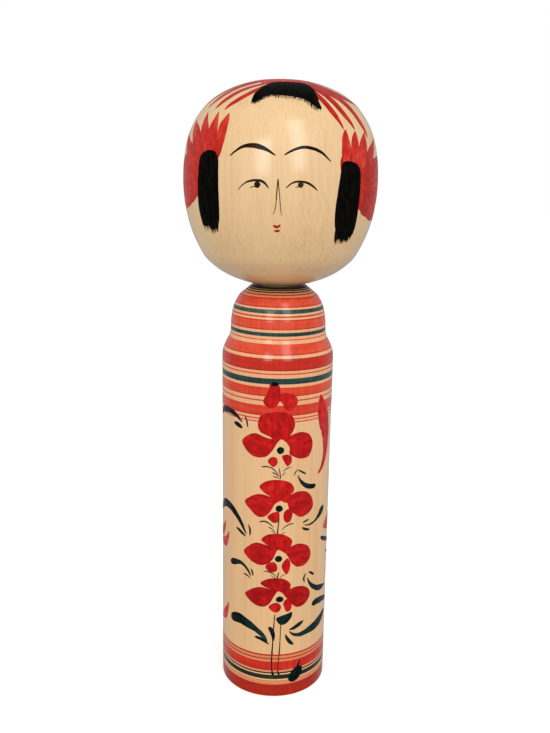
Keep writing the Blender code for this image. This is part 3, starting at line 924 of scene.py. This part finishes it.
def paint_face(looks):
    ink = Shells(0)
    for line in [
        [(-26.4,64,0.5), (-22.6,61.7,0.9), (-18.6,60,1.3), (-13.8,59.5,2), (-9.4,60,2.1), (-5,61.3,1.4),
         (-0.2,63.7,0.4)],
        [(4,63.4,0.6), (8.5,61.4,1), (14.2,60,1.3), (19.5,60.4,1.4), (24.6,61.9,1.2), (30.4,65.8,0.4)],
    ]:
        stroke(ink, face, line, 1.25, rough=0.05)
    for line in [
        [(-21,78,0.3), (-18,75.6,0.5), (-14.7,74.2,0.8), (-10.6,73.7,1), (-7.3,74.1,1.1), (-5.4,75.2,0.9),
         (-3.6,77.1,0.4)],
        [(5.2,76.9,0.4), (7.5,75.2,0.6), (10.1,74.2,0.8), (13,74,0.9), (16.7,74.5,1), (19.7,75.8,0.9),
         (22.7,77.7,0.4)],
        [(-14.1,77,0.3), (-12.1,76.3,0.4), (-10.2,76.6,0.4), (-8.6,76.8,0.3)],
        [(10,76.3,0.3), (12.3,76.2,0.4), (14.4,76.5,0.3)],
    ]:
        stroke(ink, face, line, 0.9, rough=0.05)
    dot(ink, face, -9.9, 75.4, 1.7, 1.3, 1.3, rough=0.03, ring_step=0.6)
    # The right pupil gets thinner ink, so it shows greyer. This is a painted sheen on the black.
    dot(ink, face, 13.1, 75.3, 1.6, 1, 0.8, rough=0.03, ring_step=0.6)
    for line in [
        [(1.1,72.7,0.6), (0.7,77,0.55), (0.3,81,0.45), (0,84.4,0.4), (-0.6,86.5,0.35), (-1.5,88,0.2)],
        [(1.1,73,0.5), (1.7,77.4,0.45), (2.15,81,0.4), (2.6,84.4,0.4), (3,86.8,0.35), (3.5,88.5,0.2)],
    ]:
        stroke(ink, face, line, 0.5, 0.35, rough=0.05)
    ink.piece("face_lines", looks["line_ink"], "head", "black_ink")
    lips = Shells(0)
    patch(lips, face, [(-1.5,92.5), (-0.4,92.3), (0.7,92.6), (1.9,92.15), (2.9,92.3), (2.6,93), (1.8,93.5),
        (0.8,93.9), (-0.3,93.6), (-1.2,93.1)], ink=1, rough=0.03, ring_step=0.5)
    patch(lips, face, [(-1.2,94.8), (0,94.6), (1.1,94.4), (2.5,94.6), (2.1,95.3), (0.9,95.55), (-0.4,95.35)],
        ink=1.1, rough=0.03, ring_step=0.5)
    lips.piece("lips", looks["lip_red"], "head", "red_dye")


# ---- the studio

def add_camera():
    data = bpy.data.cameras.new("camera")
    data.lens = 39.24
    camera = bpy.data.objects.new("camera", data)
    turn = Matrix.Rotation(math.radians(0.186), 4, "Z")
    tilt = Matrix.Rotation(math.radians(90.0 - 13.2), 4, "X")
    roll = Matrix.Rotation(math.radians(0.88), 4, "Z")
    camera.matrix_world = Matrix.Translation((0.0, -0.388, 0.259)) @ turn @ tilt @ roll
    bpy.context.scene.collection.objects.link(camera)
    bpy.context.scene.camera = camera


def add_softbox(name, place, aim, width, height, power):
    data = bpy.data.lights.new(name, "AREA")
    data.shape = "RECTANGLE"
    data.size = width
    data.size_y = height
    data.energy = power
    light = bpy.data.objects.new(name, data)
    way = Vector(aim) - Vector(place)
    light.matrix_world = Matrix.Translation(place) @ way.to_track_quat("-Z", "Y").to_matrix().to_4x4()
    bpy.context.scene.collection.objects.link(light)


def add_floor():
    """A pale table that glows faintly, as in product photography, so that it meets the backdrop unseen."""
    material = Material("pale_floor")
    tone = material.noise(material.node("TexCoord").outputs["Object"], 3.0, 2.0)
    colour = material.ramp(tone, [(0.0, (0.86, 0.86, 0.855)), (1.0, (0.9, 0.9, 0.895))])
    for key, value in [("Base Color", colour), ("Roughness", 0.8), ("Emission Color", (1.0, 1.0, 1.0, 1.0)),
                       ("Emission Strength", 0.42)]:
        material.feed(material.shader.inputs[key], value)
    mesh = bpy.data.meshes.new("floor")
    reach = 6.0
    mesh.from_pydata([(-reach, -reach, 0), (reach, -reach, 0), (reach, reach, 0), (-reach, reach, 0)], [],
                     [(0, 1, 2, 3)])
    mesh.materials.append(material.material)
    floor = bpy.data.objects.new("floor", mesh)
    bpy.context.scene.collection.objects.link(floor)
    floor.visible_diffuse = False
    floor.visible_glossy = False


def add_studio():
    scene = bpy.context.scene
    scene.view_settings.view_transform = "Standard"
    scene.view_settings.look = "None"
    world = bpy.data.worlds.new("studio")
    world.use_nodes = True
    sky = Nodes(world.node_tree)
    way = sky.node("SeparateXYZ", {"Vector": sky.node("TexCoord").outputs["Generated"]})
    ray = sky.node("LightPath")

    def graded(axis, start, end, low, high):
        limits = {"From Min": start, "From Max": end, "To Min": low, "To Max": high}
        made = sky.node("MapRange", {"Value": way.outputs[axis], **limits}, interpolation_type="SMOOTHSTEP")
        return made.outputs["Result"]

    def choose(kind, otherwise, chosen):
        return sky.node("Mix", {"Factor": ray.outputs[kind], "A": otherwise, "B": chosen}).outputs["Result"]

    sides = sky.maths("ADD", graded("X", 0.0, -1.0, 0.0, 0.36), graded("X", 0.0, 1.0, 0.0, 0.34))
    fill = sky.maths("ADD", graded("Z", -1.0, -0.1, 0.24, 0.59), sides)
    mirrored = graded("Y", -0.3, 0.9, 0.04, 0.44)
    background = sky.tree.nodes["Background"]
    background.inputs["Color"].default_value = (1.0, 1.0, 1.0, 1.0)
    sky.feed(background.inputs["Strength"],
             choose("Is Camera Ray", choose("Is Glossy Ray", fill, mirrored), 1.0))
    scene.world = world
    add_softbox("window_right", (0.43, -1.13, 0.98), (0.0, 0.0, 0.24), 0.38, 1.3, 6.7)
    add_softbox("window_left", (-0.43, -1.13, 0.62), (0.0, 0.0, 0.24), 0.34, 0.6, 3.2)


add_camera()
add_studio()
add_floor()
looks = make_materials()
turned_piece("head_wood", head, "head", looks, [], head.core)
turned_piece("body_wood", body, "body", looks, body.foot, body.core)
paint_rings(looks)
paint_flowers(looks)
paint_greenery(looks)
paint_hair(looks)
paint_face(looks)
